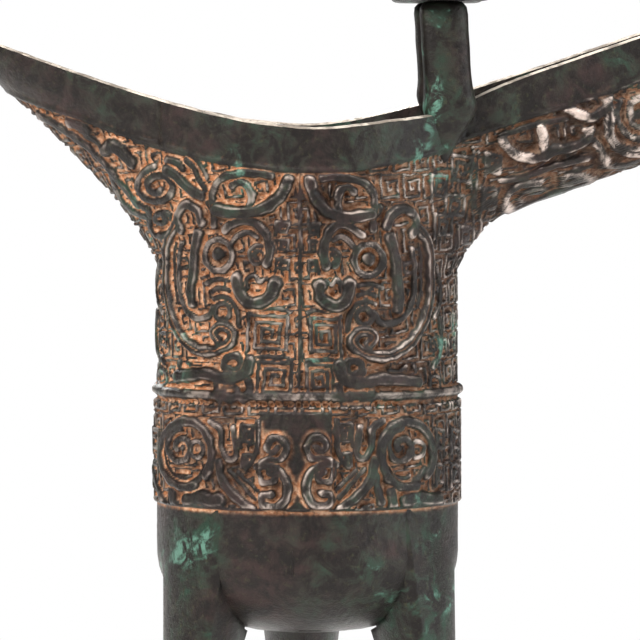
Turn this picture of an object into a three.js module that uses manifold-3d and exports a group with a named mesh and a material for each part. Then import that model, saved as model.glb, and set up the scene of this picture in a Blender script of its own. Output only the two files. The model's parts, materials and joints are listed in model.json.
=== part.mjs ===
// A cast bronze tripod libation cup: a tall round-bottomed bowl drawn out into a channel spout (+X) and a
// pointed tail (-X), two capped posts at the root of the spout, a strap handle with an ox head on the far
// side (+Y) and three splayed blade legs. Units are millimetres, +Z is up, and the origin ends up in the
// middle of the footprint, on the surface that the cup stands on.
import * as THREE from "three";
import { mergeVertices } from "three/addons/utils/BufferGeometryUtils.js";
import Module from "manifold-3d";

const wasm = await Module();
wasm.setup();

// Fits
const CAST_GAP = 0.3; // gap left between two pieces that are cast onto each other
const CUT_MARGIN = 6; // how far a cutting shape runs past what it cuts
const CUT_OVERLAP = 0.5; // how far the near and far cutting shapes run into each other

// Bowl
const BOWL_WIDTH = 59.4; // along the spout and tail
const BOWL_DEPTH = 56;
const WALL = 2.2;
const BELLY_Z = 68; // underside of the bowl above the table
const BELLY_ROUNDING = 17; // height over which the underside rounds into the wall
const BELLY_SQUARENESS = 2.4; // exponent of the underside's curve, 2 being an ellipse
const ARM_BLEND = 16; // distance from the axis over which spout and tail rise out of the round bowl
const ARM_FILLET = 7;
const SHOULDER_Z = 136; // where the wall starts to flare
const SIDE_FLARE = 2.8; // how far each long side has leaned out at the lip

// Raised belts round the bowl
const BELT_Z = 93.8; // underside of the lower ornament belt
const BELT_HEIGHT = 19.9;
const BELT_RELIEF = 0.9;
const RIDGE_Z = 114.8; // the cord between the two registers
const RIDGE_HEIGHT = 1.7;
const RIDGE_RELIEF = 0.8;
const BELT_SHARPNESS = 0.4; // height over which a belt's edge steps out

// Lip, seen from the side
const LIP_LOW_Z = 167.3;
const LIP_LOW_X = 1;
const TAIL_LIP_SLOPE = 0.41;
const TAIL_LIP_ROUNDING = 12;
const SPOUT_LIP_SLOPE = 0.345;
const SPOUT_LIP_ROUNDING = 5;
const NEAR_LIP_DIP = 1.8; // the near lip sags beside its post
const NEAR_LIP_DIP_X = 25;
const NEAR_LIP_DIP_SPREAD = 10;

// Spout
const SPOUT_REACH = 94;
const SPOUT_ROOT_HALF_WIDTH = 15.5;
const SPOUT_TIP_HALF_WIDTH = 10.5;
const SPOUT_KEEL_Z = 139.4; // where its underside leaves the wall
const SPOUT_KEEL_HOOK = 9.9;
const SPOUT_KEEL_HOOK_LENGTH = 5;
const SPOUT_KEEL_SLOPE = 0.26;
const SPOUT_TIP_TURN = 9; // how far the underside turns up at the mouth
const SPOUT_ROUNDNESS = 2.4;
const MOUTH_LEAN = 3; // how far the lip overhangs the underside at the mouth

// Tail
const TAIL_REACH = 72.5;
const TAIL_KEEL_Z = 140.3;
const TAIL_KEEL_HOOK = 7.1;
const TAIL_KEEL_HOOK_LENGTH = 6.3;
const TAIL_KEEL_SLOPE = 0.92;
const TAIL_ROUNDNESS = 1.7;
const TAIL_TAPER = 0.8;

// Posts and caps
const POST_X = 26.6;
const POST_Y = 18.6;
const POST_WIDTH = 9.2;
const POST_DEPTH = 7.4;
const POST_ROUNDNESS = 3;
const POST_ROOT_DROP = 7.5; // how far the outer cheek runs down below the lip
const POST_ROOT_WIDTH = 6;
const POST_LEAN_DEG = 3.2; // towards the tail
const CAP_SEAT_Z = 191.4;
const CAP_RADIUS = 9.6;
const CAP_HEIGHT = 14;
const CAP_EDGE = 3.4; // height of the cap's rounded lower edge
const CAP_KNOB_RADIUS = 2.3;
const TENON_RADIUS = 2.4;
const TENON_HEIGHT = 4.5;

// Legs
const LEG_ANGLES = { tail_side: 210, spout_side: 330, handle_side: 90 };
const LEG_JOINT_Z = 65; // butt joint between the root on the bowl and the leg
const LEG_ROOT_Z = 92; // where the root dies into the wall
const LEG_ROOT_HALF_WIDTH = 8.4;
const LEG_ROOT_RADIUS = 29.2;
const LEG_JOINT_HALF_WIDTH = 6.8;
const LEG_JOINT_RADIUS = 30.6;
const LEG_KEEL_DEPTH = 9.5; // from the outer face in to the keel at the joint
const FOOT_RADIUS = 40.5;
const FOOT_HALF_WIDTH = 2.5;
const FOOT_DEPTH = 4.2;
const LEG_BOW = 1.6; // how far the leg bows in between joint and foot
const LEG_CREST = 0.9; // height of the crest down the outer face
const LEG_TENON_RADIUS = 2;
const LEG_TENON_LENGTH = 5;

// Handle
const HANDLE_TOP_Z = 150;
const HANDLE_BOTTOM_Z = 107;
const HANDLE_REACH = 47; // outermost point, from the bowl's axis
const HANDLE_WIDTH = 9;
const HANDLE_THICKNESS = 4.6;
const HANDLE_CORNER = 11;
const HANDLE_LUG_RADIUS = 1.5;
const HANDLE_LUG_LENGTH = 3;
const HEAD_LENGTH = 15;
const HEAD_WIDTH = 13;
const HEAD_HEIGHT = 9;
const HORN_SPREAD = 6.2;
const HORN_RADIUS = 2.4;
const HEAD_TENON_RADIUS = 1.4;
const HEAD_TENON_LENGTH = 2.4;

// Chaplets: the small square bronze spacers that held the mould and its core apart
const CHAPLET_SIDE = 4.4;
const CHAPLET_DEPTH = 1.1;
const WALL_CHAPLET_Z = 84;
const WALL_CHAPLET_ANGLES = [258, 30, 150];
const FLOOR_CHAPLET_RADIUS = 11;
const FLOOR_CHAPLET_ANGLES = [30, 150, 270];

// Mesh fineness
const QUARTER_STEPS = 14; // columns in a quarter of a slice
const OUTLINE_STEPS = 48; // points that trace half of a slice before it is spaced evenly

const finishes = {
  bronze: { color: 0x3a3830, roughness: 0.5, metalness: 0.7 },
  worn_post: { color: 0x5a6a58, roughness: 0.6, metalness: 0.5 },
  chaplet: { color: 0x4a6a5c, roughness: 0.7, metalness: 0.4 },
};

function solidOf(geometry) {
  const bare = geometry.index ? geometry.toNonIndexed() : geometry.clone();
  bare.deleteAttribute("normal");
  bare.deleteAttribute("uv");
  const merged = mergeVertices(bare, 1e-4);
  return new wasm.Manifold(
    new wasm.Mesh({
      numProp: 3,
      vertProperties: merged.attributes.position.array,
      triVerts: new Uint32Array(merged.index.array),
    }),
  );
}

function geometryOf(solid) {
  const mesh = solid.getMesh();
  const indexed = new THREE.BufferGeometry()
    .setAttribute("position", new THREE.BufferAttribute(mesh.vertProperties, 3))
    .setIndex(new THREE.BufferAttribute(mesh.triVerts, 1));
  const flat = indexed.toNonIndexed();
  flat.computeVertexNormals();
  return flat;
}

function placed(geometry, position, rotation = [0, 0, 0]) {
  const matrix = new THREE.Matrix4().compose(
    new THREE.Vector3(...position),
    new THREE.Quaternion().setFromEuler(new THREE.Euler(...rotation)),
    new THREE.Vector3(1, 1, 1),
  );
  return solidOf(geometry.clone().applyMatrix4(matrix));
}

// Joins rings of points, all with the same count and listed bottom to top, into one closed body.
function loft(rings) {
  const count = rings[0].length;
  const points = rings.flat();
  const faces = [];
  for (let row = 0; row + 1 < rings.length; row++) {
    for (let i = 0; i < count; i++) {
      const a = row * count + i;
      const b = row * count + ((i + 1) % count);
      faces.push(a, b, b + count, a, b + count, a + count);
    }
  }
  for (const [start, up] of [[0, false], [(rings.length - 1) * count, true]]) {
    const middle = new THREE.Vector3();
    for (let i = 0; i < count; i++) middle.add(points[start + i]);
    points.push(middle.divideScalar(count));
    for (let i = 0; i < count; i++) {
      const a = start + i;
      const b = start + ((i + 1) % count);
      faces.push(points.length - 1, up ? a : b, up ? b : a);
    }
  }
  return new THREE.BufferGeometry().setFromPoints(points).setIndex(faces);
}

const toRadians = THREE.MathUtils.degToRad;
const smoothStep = (x, low, high) => THREE.MathUtils.smoothstep(x, low, high);

// The larger of two widths, with the corner between them filled by a fillet
function filletMax(a, b, fillet) {
  return (a + b + Math.hypot(a - b, fillet)) / 2;
}

function lipZ(x, near) {
  const fromLow = x - LIP_LOW_X;
  const slope = fromLow < 0 ? TAIL_LIP_SLOPE : SPOUT_LIP_SLOPE;
  const rounding = fromLow < 0 ? TAIL_LIP_ROUNDING : SPOUT_LIP_ROUNDING;
  const dip = near ? NEAR_LIP_DIP * Math.exp(-(((x - NEAR_LIP_DIP_X) / NEAR_LIP_DIP_SPREAD) ** 2)) : 0;
  return LIP_LOW_Z + Math.hypot(rounding, slope * fromLow) - rounding - dip;
}

const halfWidth = BOWL_WIDTH / 2;
const halfDepth = BOWL_DEPTH / 2;

function spoutKeelZ(x) {
  const out = Math.max(0, x - halfWidth);
  const length = SPOUT_REACH - halfWidth;
  return SPOUT_KEEL_Z + SPOUT_KEEL_HOOK * (1 - Math.exp(-out / SPOUT_KEEL_HOOK_LENGTH)) +
    SPOUT_KEEL_SLOPE * out + SPOUT_TIP_TURN * (out / length) ** 4;
}

function tailKeelZ(x) {
  const out = Math.max(0, -x - halfWidth);
  return TAIL_KEEL_Z + TAIL_KEEL_HOOK * (1 - Math.exp(-out / TAIL_KEEL_HOOK_LENGTH)) + TAIL_KEEL_SLOPE * out;
}

// How far a belt or cord stands out of the wall at a height
function beltRelief(z) {
  const rise = (low, height) =>
    smoothStep(z, low, low + BELT_SHARPNESS) - smoothStep(z, low + height - BELT_SHARPNESS, low + height);
  return BELT_RELIEF * rise(BELT_Z, BELT_HEIGHT) + RIDGE_RELIEF * rise(RIDGE_Z, RIDGE_HEIGHT);
}

// Share of the bowl's full width at a height: it closes to nothing at the underside
function bellyShare(z, floor) {
  const up = THREE.MathUtils.clamp((z - floor) / BELLY_ROUNDING, 0, 1);
  return (1 - (1 - up) ** BELLY_SQUARENESS) ** (1 / BELLY_SQUARENESS);
}

// Half the width of a slice at height z, at x, when the skin is drawn in by inset
function sliceY(x, z, inset) {
  const share = bellyShare(z, BELLY_Z + inset);
  const relief = inset > 0 ? 0 : beltRelief(z);
  const a = (halfWidth - inset) * share + relief;
  const leaning = SIDE_FLARE * smoothStep(z, SHOULDER_Z, LIP_LOW_Z + 4);
  const b = (halfDepth - inset + leaning) * share + relief;
  const bowl = Math.abs(x) < a ? b * Math.sqrt(1 - (x / a) ** 2) : 0;
  const channel = (keel, width, roundness) => {
    const up = THREE.MathUtils.clamp((z - keel - inset) / (lipZ(x, false) - keel - inset), 0, 1);
    return Math.max(0, width - inset) * (1 - (1 - up) ** roundness) ** (1 / roundness);
  };
  let arm = 0;
  if (x > 0) {
    const along = (x - halfWidth) / (SPOUT_REACH - halfWidth);
    const width = THREE.MathUtils.lerp(SPOUT_ROOT_HALF_WIDTH, SPOUT_TIP_HALF_WIDTH, along);
    arm = channel(spoutKeelZ(x), width, SPOUT_ROUNDNESS);
  } else {
    const left = THREE.MathUtils.clamp(1 + x / (TAIL_REACH + 1), 0, 1);
    arm = channel(tailKeelZ(x), (halfDepth + SIDE_FLARE) * left ** TAIL_TAPER, TAIL_ROUNDNESS);
  }
  arm *= smoothStep(Math.abs(x), 0, ARM_BLEND);
  const fillet = ARM_FILLET * Math.min(1, arm / ARM_FILLET, bowl / ARM_FILLET);
  return filletMax(bowl, arm, fillet);
}

// Furthest x, on one side, at which a slice still has width
function sliceEnd(z, inset, side) {
  const reach = side > 0 ? SPOUT_REACH + CUT_MARGIN : TAIL_REACH;
  let inside = 0;
  let outside = reach * side;
  if (sliceY(outside, z, inset) > 0.05) return outside;
  for (let i = 0; i < 40; i++) {
    const middle = (inside + outside) / 2;
    if (sliceY(middle, z, inset) > 0) inside = middle;
    else outside = middle;
  }
  return inside;
}

// One quarter of a slice, evenly spaced from x = 0 out to its end
function quarterSlice(z, inset, side) {
  const end = sliceEnd(z, inset, side);
  const trace = [];
  for (let i = 0; i <= OUTLINE_STEPS; i++) {
    const x = end * Math.sin((i / OUTLINE_STEPS) * Math.PI / 2);
    trace.push(new THREE.Vector2(x, i < OUTLINE_STEPS ? sliceY(x, z, inset) : 0));
  }
  const lengths = [0];
  for (let i = 1; i < trace.length; i++) lengths.push(lengths[i - 1] + trace[i].distanceTo(trace[i - 1]));
  const spaced = [];
  let at = 0;
  for (let k = 0; k <= QUARTER_STEPS; k++) {
    const wanted = (lengths.at(-1) * k) / QUARTER_STEPS;
    while (at + 2 < lengths.length && lengths[at + 1] < wanted) at++;
    const share = (wanted - lengths[at]) / (lengths[at + 1] - lengths[at] || 1);
    spaced.push(trace[at].clone().lerp(trace[at + 1], Math.min(1, share)));
  }
  return spaced;
}

// The whole slice, anticlockwise from the tip of the spout
function slice(z, inset) {
  const spout = quarterSlice(z, inset, 1);
  const tail = quarterSlice(z, inset, -1);
  const far = [...spout.slice().reverse(), ...tail.slice(1)];
  const near = far.slice(1, -1).reverse();
  return [
    ...far.map((p) => new THREE.Vector3(p.x, p.y, z)),
    ...near.map((p) => new THREE.Vector3(p.x, -p.y, z)),
  ];
}

const archTopZ = lipZ(SPOUT_REACH, false) + CUT_MARGIN;

// Heights of the slices: close together on the underside, at the belts and in the flare
function sliceHeights(inset) {
  const floor = BELLY_Z + inset;
  const heights = [0.008, 0.05, 0.15, 0.3, 0.5, 0.75].map((share) => floor + BELLY_ROUNDING * share);
  heights.push(floor + BELLY_ROUNDING);
  if (inset <= 0) {
    for (const [low, height] of [[BELT_Z, BELT_HEIGHT], [RIDGE_Z, RIDGE_HEIGHT]]) {
      heights.push(low, low + BELT_SHARPNESS, low + height - BELT_SHARPNESS, low + height);
    }
  }
  heights.push(SHOULDER_Z);
  const flareSteps = 9;
  const flareTop = LIP_LOW_Z + 1;
  for (let i = 1; i <= flareSteps; i++) heights.push(SHOULDER_Z + ((flareTop - SHOULDER_Z) * i) / flareSteps);
  const riseSteps = 5;
  for (let i = 1; i <= riseSteps; i++) heights.push(flareTop + ((archTopZ - flareTop) * i) / riseSteps);
  return heights;
}

const bodyOf = (inset) => solidOf(loft(sliceHeights(inset).map((z) => slice(z, inset))));

// Everything above the lip and beyond the mouth, on one side of the cup
function lipCutter(near, raise) {
  const top = archTopZ + CUT_MARGIN;
  const outline = new THREE.Shape();
  outline.moveTo(-TAIL_REACH - CUT_MARGIN, top);
  const steps = 44;
  for (let i = 0; i <= steps; i++) {
    const x = THREE.MathUtils.lerp(-TAIL_REACH - CUT_MARGIN, SPOUT_REACH + raise, i / steps);
    outline.lineTo(x, lipZ(x, near) + raise);
  }
  const keel = spoutKeelZ(SPOUT_REACH);
  outline.lineTo(SPOUT_REACH - MOUTH_LEAN + raise, keel);
  outline.lineTo(SPOUT_REACH - MOUTH_LEAN + raise, keel - CUT_MARGIN);
  outline.lineTo(SPOUT_REACH + 2 * CUT_MARGIN, keel - CUT_MARGIN);
  outline.lineTo(SPOUT_REACH + 2 * CUT_MARGIN, top);
  outline.closePath();
  const across = halfDepth + SIDE_FLARE + CUT_MARGIN + CUT_OVERLAP;
  const sheet = new THREE.ExtrudeGeometry(outline, { depth: across, bevelEnabled: false });
  // The outline is drawn in x and y, so it is stood up, with its depth towards the near side.
  return placed(sheet, [0, near ? CUT_OVERLAP : across - CUT_OVERLAP, 0], [Math.PI / 2, 0, 0]);
}

// The bowl's wall with spout and tail, open above; clearance thickens it all round for use as a cutter
function wall(clearance) {
  return bodyOf(-clearance)
    .subtract(bodyOf(WALL + clearance))
    .subtract(lipCutter(true, clearance))
    .subtract(lipCutter(false, clearance));
}

// Point at a radius and angle round the bowl's axis
function around(radius, degrees, z) {
  return new THREE.Vector3(radius * Math.cos(toRadians(degrees)), radius * Math.sin(toRadians(degrees)), z);
}

// Kite-shaped section of a leg: crest outside, an edge at each side, keel inside
function legSection(degrees, radius, half, depth, z) {
  const side = new THREE.Vector3(-Math.sin(toRadians(degrees)), Math.cos(toRadians(degrees)), 0);
  const shoulder = radius - depth * 0.14;
  return [
    around(radius + LEG_CREST * (half / LEG_JOINT_HALF_WIDTH), degrees, z),
    around(shoulder, degrees, z).addScaledVector(side, half),
    around(radius - depth * 0.62, degrees, z).addScaledVector(side, half * 0.52),
    around(radius - depth, degrees, z),
    around(radius - depth * 0.62, degrees, z).addScaledVector(side, -half * 0.52),
    around(shoulder, degrees, z).addScaledVector(side, -half),
  ];
}

// The swelling that carries a leg, from the wall down to the butt joint
function legRoot(degrees) {
  const sections = [0, 0.2, 0.45, 0.7, 0.9, 1].map((share) => {
    const eased = share ** 1.5;
    return legSection(
      degrees,
      THREE.MathUtils.lerp(LEG_JOINT_RADIUS, LEG_ROOT_RADIUS, Math.sqrt(share)),
      THREE.MathUtils.lerp(LEG_JOINT_HALF_WIDTH, LEG_ROOT_HALF_WIDTH, share),
      THREE.MathUtils.lerp(LEG_KEEL_DEPTH, WALL + 1, eased),
      THREE.MathUtils.lerp(LEG_JOINT_Z, LEG_ROOT_Z, share),
    );
  });
  return solidOf(loft(sections));
}

const legTenonRadius = LEG_JOINT_RADIUS - LEG_KEEL_DEPTH * 0.38;

function legTenon(degrees, clearance) {
  const length = LEG_TENON_LENGTH + clearance;
  const pin = new THREE.CylinderGeometry(LEG_TENON_RADIUS + clearance, LEG_TENON_RADIUS + clearance, length + 1, 16);
  const at = around(legTenonRadius, degrees, LEG_JOINT_Z - length / 2 + 0.5);
  return placed(pin, at.toArray(), [Math.PI / 2, 0, 0]);
}

function leg(degrees) {
  const top = LEG_JOINT_Z - CAST_GAP;
  const steps = 7;
  const sections = [];
  for (let i = 0; i <= steps; i++) {
    const share = i / steps;
    const bow = LEG_BOW * Math.sin(Math.PI * share);
    sections.push(legSection(
      degrees,
      THREE.MathUtils.lerp(FOOT_RADIUS, LEG_JOINT_RADIUS, share) - bow,
      THREE.MathUtils.lerp(FOOT_HALF_WIDTH, LEG_JOINT_HALF_WIDTH, share ** 1.15),
      THREE.MathUtils.lerp(FOOT_DEPTH, LEG_KEEL_DEPTH, share),
      top * share,
    ));
  }
  return solidOf(loft(sections)).subtract(legTenon(degrees, CAST_GAP));
}

// Frame of a chaplet: where its outer face meets the skin, and the turn that makes its Z point outwards
const chaplets = [];
WALL_CHAPLET_ANGLES.forEach((degrees, i) => {
  const t = toRadians(degrees);
  const share = bellyShare(WALL_CHAPLET_Z, BELLY_Z);
  const at = [halfWidth * share * Math.cos(t), halfDepth * share * Math.sin(t), WALL_CHAPLET_Z];
  const facing = Math.atan2(Math.sin(t) / halfDepth, Math.cos(t) / halfWidth);
  chaplets.push({ name: `wall_chaplet_${i + 1}`, at, turn: [0, Math.PI / 2, facing] });
});
FLOOR_CHAPLET_ANGLES.forEach((degrees, i) => {
  const at = around(FLOOR_CHAPLET_RADIUS, degrees, 0);
  const share = Math.hypot(at.x / halfWidth, at.y / halfDepth);
  at.z = BELLY_Z + BELLY_ROUNDING * (1 - (1 - share ** BELLY_SQUARENESS) ** (1 / BELLY_SQUARENESS));
  const step = 0.01;
  const lower = 1 - (1 - (share - step) ** BELLY_SQUARENESS) ** (1 / BELLY_SQUARENESS);
  const upper = 1 - (1 - (share + step) ** BELLY_SQUARENESS) ** (1 / BELLY_SQUARENESS);
  const slope = Math.atan2(BELLY_ROUNDING * (upper - lower), 2 * step * halfDepth);
  chaplets.push({ name: `floor_chaplet_${i + 1}`, at: at.toArray(), turn: [0, Math.PI - slope, toRadians(degrees)] });
});

// A square plug let into the skin; with a clearance it is the pocket that the plug sits in
function plug({ at, turn }, clearance) {
  const side = CHAPLET_SIDE + 2 * clearance;
  const inward = CHAPLET_DEPTH + clearance;
  const outward = clearance ? CUT_MARGIN : 0;
  const block = new THREE.BoxGeometry(side, side, inward + outward);
  block.translate(0, 0, (outward - inward) / 2);
  block.rotateY(turn[1]);
  block.rotateZ(turn[2]);
  return placed(block, at);
}

// Handle, drawn in y and z and extruded along x
const handleInnerReach = HANDLE_REACH - HANDLE_THICKNESS;
const handleRootY = halfDepth - 3;

function handleOutline() {
  const c = HANDLE_CORNER;
  const k = HANDLE_CORNER - HANDLE_THICKNESS;
  const outline = new THREE.Shape();
  outline.moveTo(handleRootY, HANDLE_TOP_Z);
  outline.lineTo(HANDLE_REACH - c, HANDLE_TOP_Z);
  outline.absarc(HANDLE_REACH - c, HANDLE_TOP_Z - c, c, Math.PI / 2, 0, true);
  outline.lineTo(HANDLE_REACH, HANDLE_BOTTOM_Z + c);
  outline.absarc(HANDLE_REACH - c, HANDLE_BOTTOM_Z + c, c, 0, -Math.PI / 2, true);
  outline.lineTo(handleRootY, HANDLE_BOTTOM_Z);
  outline.lineTo(handleRootY, HANDLE_BOTTOM_Z + HANDLE_THICKNESS);
  outline.lineTo(handleInnerReach - k, HANDLE_BOTTOM_Z + HANDLE_THICKNESS);
  outline.absarc(handleInnerReach - k, HANDLE_BOTTOM_Z + c, k, -Math.PI / 2, 0, false);
  outline.lineTo(handleInnerReach, HANDLE_TOP_Z - c);
  outline.absarc(handleInnerReach - k, HANDLE_TOP_Z - c, k, 0, Math.PI / 2, false);
  outline.lineTo(handleRootY, HANDLE_TOP_Z - HANDLE_THICKNESS);
  outline.closePath();
  return outline;
}

const handleRootHeights = [HANDLE_TOP_Z - HANDLE_THICKNESS / 2, HANDLE_BOTTOM_Z + HANDLE_THICKNESS / 2];

function handleLug(z, clearance) {
  const outer = sliceY(0, z, 0);
  const length = HANDLE_LUG_LENGTH + WALL / 2 + clearance;
  const radius = HANDLE_LUG_RADIUS + clearance;
  const pin = new THREE.CylinderGeometry(radius, radius, length, 14);
  return placed(pin, [0, outer - WALL / 2 + length / 2, z]);
}

function handle() {
  const strap = new THREE.ExtrudeGeometry(handleOutline(), {
    depth: HANDLE_WIDTH,
    bevelEnabled: false,
    curveSegments: 8,
  });
  // Turned so that the outline's x becomes y, its y becomes z, and the depth lies along x
  strap.translate(0, 0, -HANDLE_WIDTH / 2);
  strap.applyMatrix4(new THREE.Matrix4().makeBasis(
    new THREE.Vector3(0, 1, 0), new THREE.Vector3(0, 0, 1), new THREE.Vector3(1, 0, 0),
  ));
  let solid = solidOf(strap).subtract(bodyOf(-CAST_GAP));
  for (const z of handleRootHeights) solid = solid.subtract(handleLug(z, CAST_GAP));
  return solid.subtract(headTenon(CAST_GAP));
}

const headY = halfDepth + SIDE_FLARE + HEAD_LENGTH / 2 - 0.5;

function headTenon(clearance) {
  const radius = HEAD_TENON_RADIUS + clearance;
  const pin = new THREE.CylinderGeometry(radius, radius, HEAD_TENON_LENGTH + clearance + 1, 12);
  return placed(pin, [0, headY, HANDLE_TOP_Z - (HEAD_TENON_LENGTH + clearance) / 2 + 0.5], [Math.PI / 2, 0, 0]);
}

function ellipsoid(size, at, turn = [0, 0, 0]) {
  const ball = new THREE.SphereGeometry(1, 14, 9);
  ball.scale(...size);
  return placed(ball, at, turn);
}

// Ox head: brow, muzzle, two curled horns and two ears, sitting on the strap and facing up and out
function oxHead() {
  const seat = HANDLE_TOP_Z + CAST_GAP;
  const brow = ellipsoid([HEAD_WIDTH * 0.4, HEAD_LENGTH * 0.36, HEAD_HEIGHT * 0.62], [0, headY - 1.6, seat + 1.6]);
  const muzzle = ellipsoid([HEAD_WIDTH * 0.27, HEAD_LENGTH * 0.33, HEAD_HEIGHT * 0.42], [0, headY + 3.1, seat + 1]);
  let head = brow.add(muzzle);
  for (const side of [-1, 1]) {
    const horn = ellipsoid([HORN_RADIUS, HORN_RADIUS, HORN_RADIUS * 0.8],
      [side * HORN_SPREAD * 0.78, headY - 3.4, seat + HEAD_HEIGHT * 0.5]);
    const ear = ellipsoid([HORN_RADIUS * 1.15, HORN_RADIUS * 0.55, HORN_RADIUS * 0.5],
      [side * HEAD_WIDTH * 0.42, headY + 0.2, seat + 2.2], [0, 0, side * 0.5]);
    head = head.add(horn).add(ear);
  }
  const below = new THREE.BoxGeometry(4 * HEAD_WIDTH, 4 * HEAD_LENGTH, 2 * HEAD_HEIGHT);
  const tenon = new THREE.CylinderGeometry(HEAD_TENON_RADIUS, HEAD_TENON_RADIUS, HEAD_TENON_LENGTH + 1, 12);
  return head
    .subtract(placed(below, [0, headY, seat - HEAD_HEIGHT]))
    .subtract(bodyOf(-CAST_GAP))
    .add(placed(tenon, [0, headY, seat + 0.5 - HEAD_TENON_LENGTH / 2], [Math.PI / 2, 0, 0]));
}

// Rounded-square outline of a post at one height
function postSection(width, depth, y, z) {
  const ring = [];
  const count = 24;
  for (let i = 0; i < count; i++) {
    const t = (2 * Math.PI * i) / count;
    const squash = (v) => Math.sign(v) * Math.abs(v) ** (2 / POST_ROUNDNESS);
    ring.push(new THREE.Vector3((width / 2) * squash(Math.cos(t)), y + (depth / 2) * squash(Math.sin(t)), z));
  }
  return ring;
}

const leanAt = (z) => -Math.tan(toRadians(POST_LEAN_DEG)) * (z - lipZ(POST_X, false));

function post(side) {
  const lip = lipZ(POST_X, side < 0);
  const y = side * POST_Y;
  const rows = [
    [lip - POST_ROOT_DROP, POST_ROOT_WIDTH * 0.5, POST_DEPTH * 0.5, side * 1],
    [lip - POST_ROOT_DROP * 0.75, POST_ROOT_WIDTH * 0.85, POST_DEPTH * 0.72, side * 0.8],
    [lip - POST_ROOT_DROP * 0.35, POST_ROOT_WIDTH * 1.15, POST_DEPTH * 0.95, side * 0.3],
    [lip, POST_WIDTH * 0.98, POST_DEPTH, 0],
    [lip + 3, POST_WIDTH * 0.94, POST_DEPTH * 0.96, 0],
    [CAP_SEAT_Z, POST_WIDTH * 1.02, POST_DEPTH, 0],
  ];
  const rings = rows.map(([z, width, depth, shift]) =>
    postSection(width, depth, y + shift, z).map((p) => p.add(new THREE.Vector3(POST_X + leanAt(z), 0, 0))));
  const tenon = new THREE.CylinderGeometry(TENON_RADIUS, TENON_RADIUS, TENON_HEIGHT + 2, 20);
  const top = new THREE.Vector3(POST_X + leanAt(CAP_SEAT_Z), y, CAP_SEAT_Z);
  const axis = new THREE.Vector3(-Math.sin(toRadians(POST_LEAN_DEG)), 0, Math.cos(toRadians(POST_LEAN_DEG)));
  const middle = top.clone().addScaledVector(axis, TENON_HEIGHT / 2 - 1);
  return solidOf(loft(rings))
    .add(placed(tenon, middle.toArray(), [Math.PI / 2, 0, toRadians(POST_LEAN_DEG)]))
    .subtract(gripped);
}

// Mushroom cap, turned about its own axis with its socket at the origin
function cap() {
  const seat = CAST_GAP * 2;
  const profile = [
    [0, TENON_HEIGHT + CAST_GAP],
    [TENON_RADIUS + CAST_GAP, TENON_HEIGHT + CAST_GAP],
    [TENON_RADIUS + CAST_GAP, seat],
    [CAP_RADIUS * 0.82, seat],
    [CAP_RADIUS * 0.97, seat + CAP_EDGE * 0.25],
    [CAP_RADIUS, seat + CAP_EDGE * 0.6],
    [CAP_RADIUS * 0.95, seat + CAP_EDGE],
    [CAP_RADIUS * 0.84, seat + CAP_EDGE + (CAP_HEIGHT - CAP_EDGE) * 0.16],
    [CAP_RADIUS * 0.6, seat + CAP_EDGE + (CAP_HEIGHT - CAP_EDGE) * 0.42],
    [CAP_RADIUS * 0.34, seat + CAP_EDGE + (CAP_HEIGHT - CAP_EDGE) * 0.66],
    [CAP_KNOB_RADIUS, seat + CAP_EDGE + (CAP_HEIGHT - CAP_EDGE) * 0.8],
    [CAP_KNOB_RADIUS * 0.9, seat + CAP_EDGE + (CAP_HEIGHT - CAP_EDGE) * 0.93],
    [0, seat + CAP_HEIGHT],
  ].map(([r, h]) => new THREE.Vector2(r, h));
  return new THREE.LatheGeometry(profile, 26);
}

const cup = new THREE.Group();

function addPiece(name, geometry, finish) {
  const mesh = new THREE.Mesh(geometry, new THREE.MeshStandardMaterial(finishes[finish]));
  mesh.name = name;
  cup.add(mesh);
  return mesh;
}

const gripped = wall(CAST_GAP);

function bowl() {
  let solid = bodyOf(0);
  for (const degrees of Object.values(LEG_ANGLES)) solid = solid.add(legRoot(degrees));
  for (const z of handleRootHeights) solid = solid.add(handleLug(z, 0));
  solid = solid.subtract(bodyOf(WALL)).subtract(lipCutter(true, 0)).subtract(lipCutter(false, 0));
  for (const degrees of Object.values(LEG_ANGLES)) solid = solid.add(legTenon(degrees, 0));
  for (const chaplet of chaplets) solid = solid.subtract(plug(chaplet, CAST_GAP));
  return solid;
}

addPiece("cup_body", geometryOf(bowl()), "bronze");
for (const [place, degrees] of Object.entries(LEG_ANGLES)) {
  addPiece(`leg_${place}`, geometryOf(leg(degrees)), "bronze");
}
for (const [place, side] of [["near", -1], ["far", 1]]) {
  addPiece(`post_${place}`, geometryOf(post(side)), "worn_post");
  const mesh = addPiece(`post_cap_${place}`, cap(), "bronze");
  mesh.rotation.set(Math.PI / 2, 0, 0);
  const tilt = new THREE.Group();
  tilt.position.set(POST_X + leanAt(CAP_SEAT_Z), side * POST_Y, CAP_SEAT_Z);
  tilt.rotation.y = -toRadians(POST_LEAN_DEG);
  tilt.add(mesh);
  cup.add(tilt);
}
addPiece("handle_strap", geometryOf(handle()), "bronze");
addPiece("handle_ox_head", geometryOf(oxHead()), "bronze");
for (const chaplet of chaplets) addPiece(chaplet.name, geometryOf(plug(chaplet, 0)), "chaplet");

// Origin: the middle of the footprint, on the table
const extent = new THREE.Box3().setFromObject(cup);
cup.position.set(-(extent.min.x + extent.max.x) / 2, -(extent.min.y + extent.max.y) / 2, -extent.min.z);

export default cup;
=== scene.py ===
import json
import math

import bpy
import numpy as np
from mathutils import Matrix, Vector
from mathutils.bvhtree import BVHTree

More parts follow.
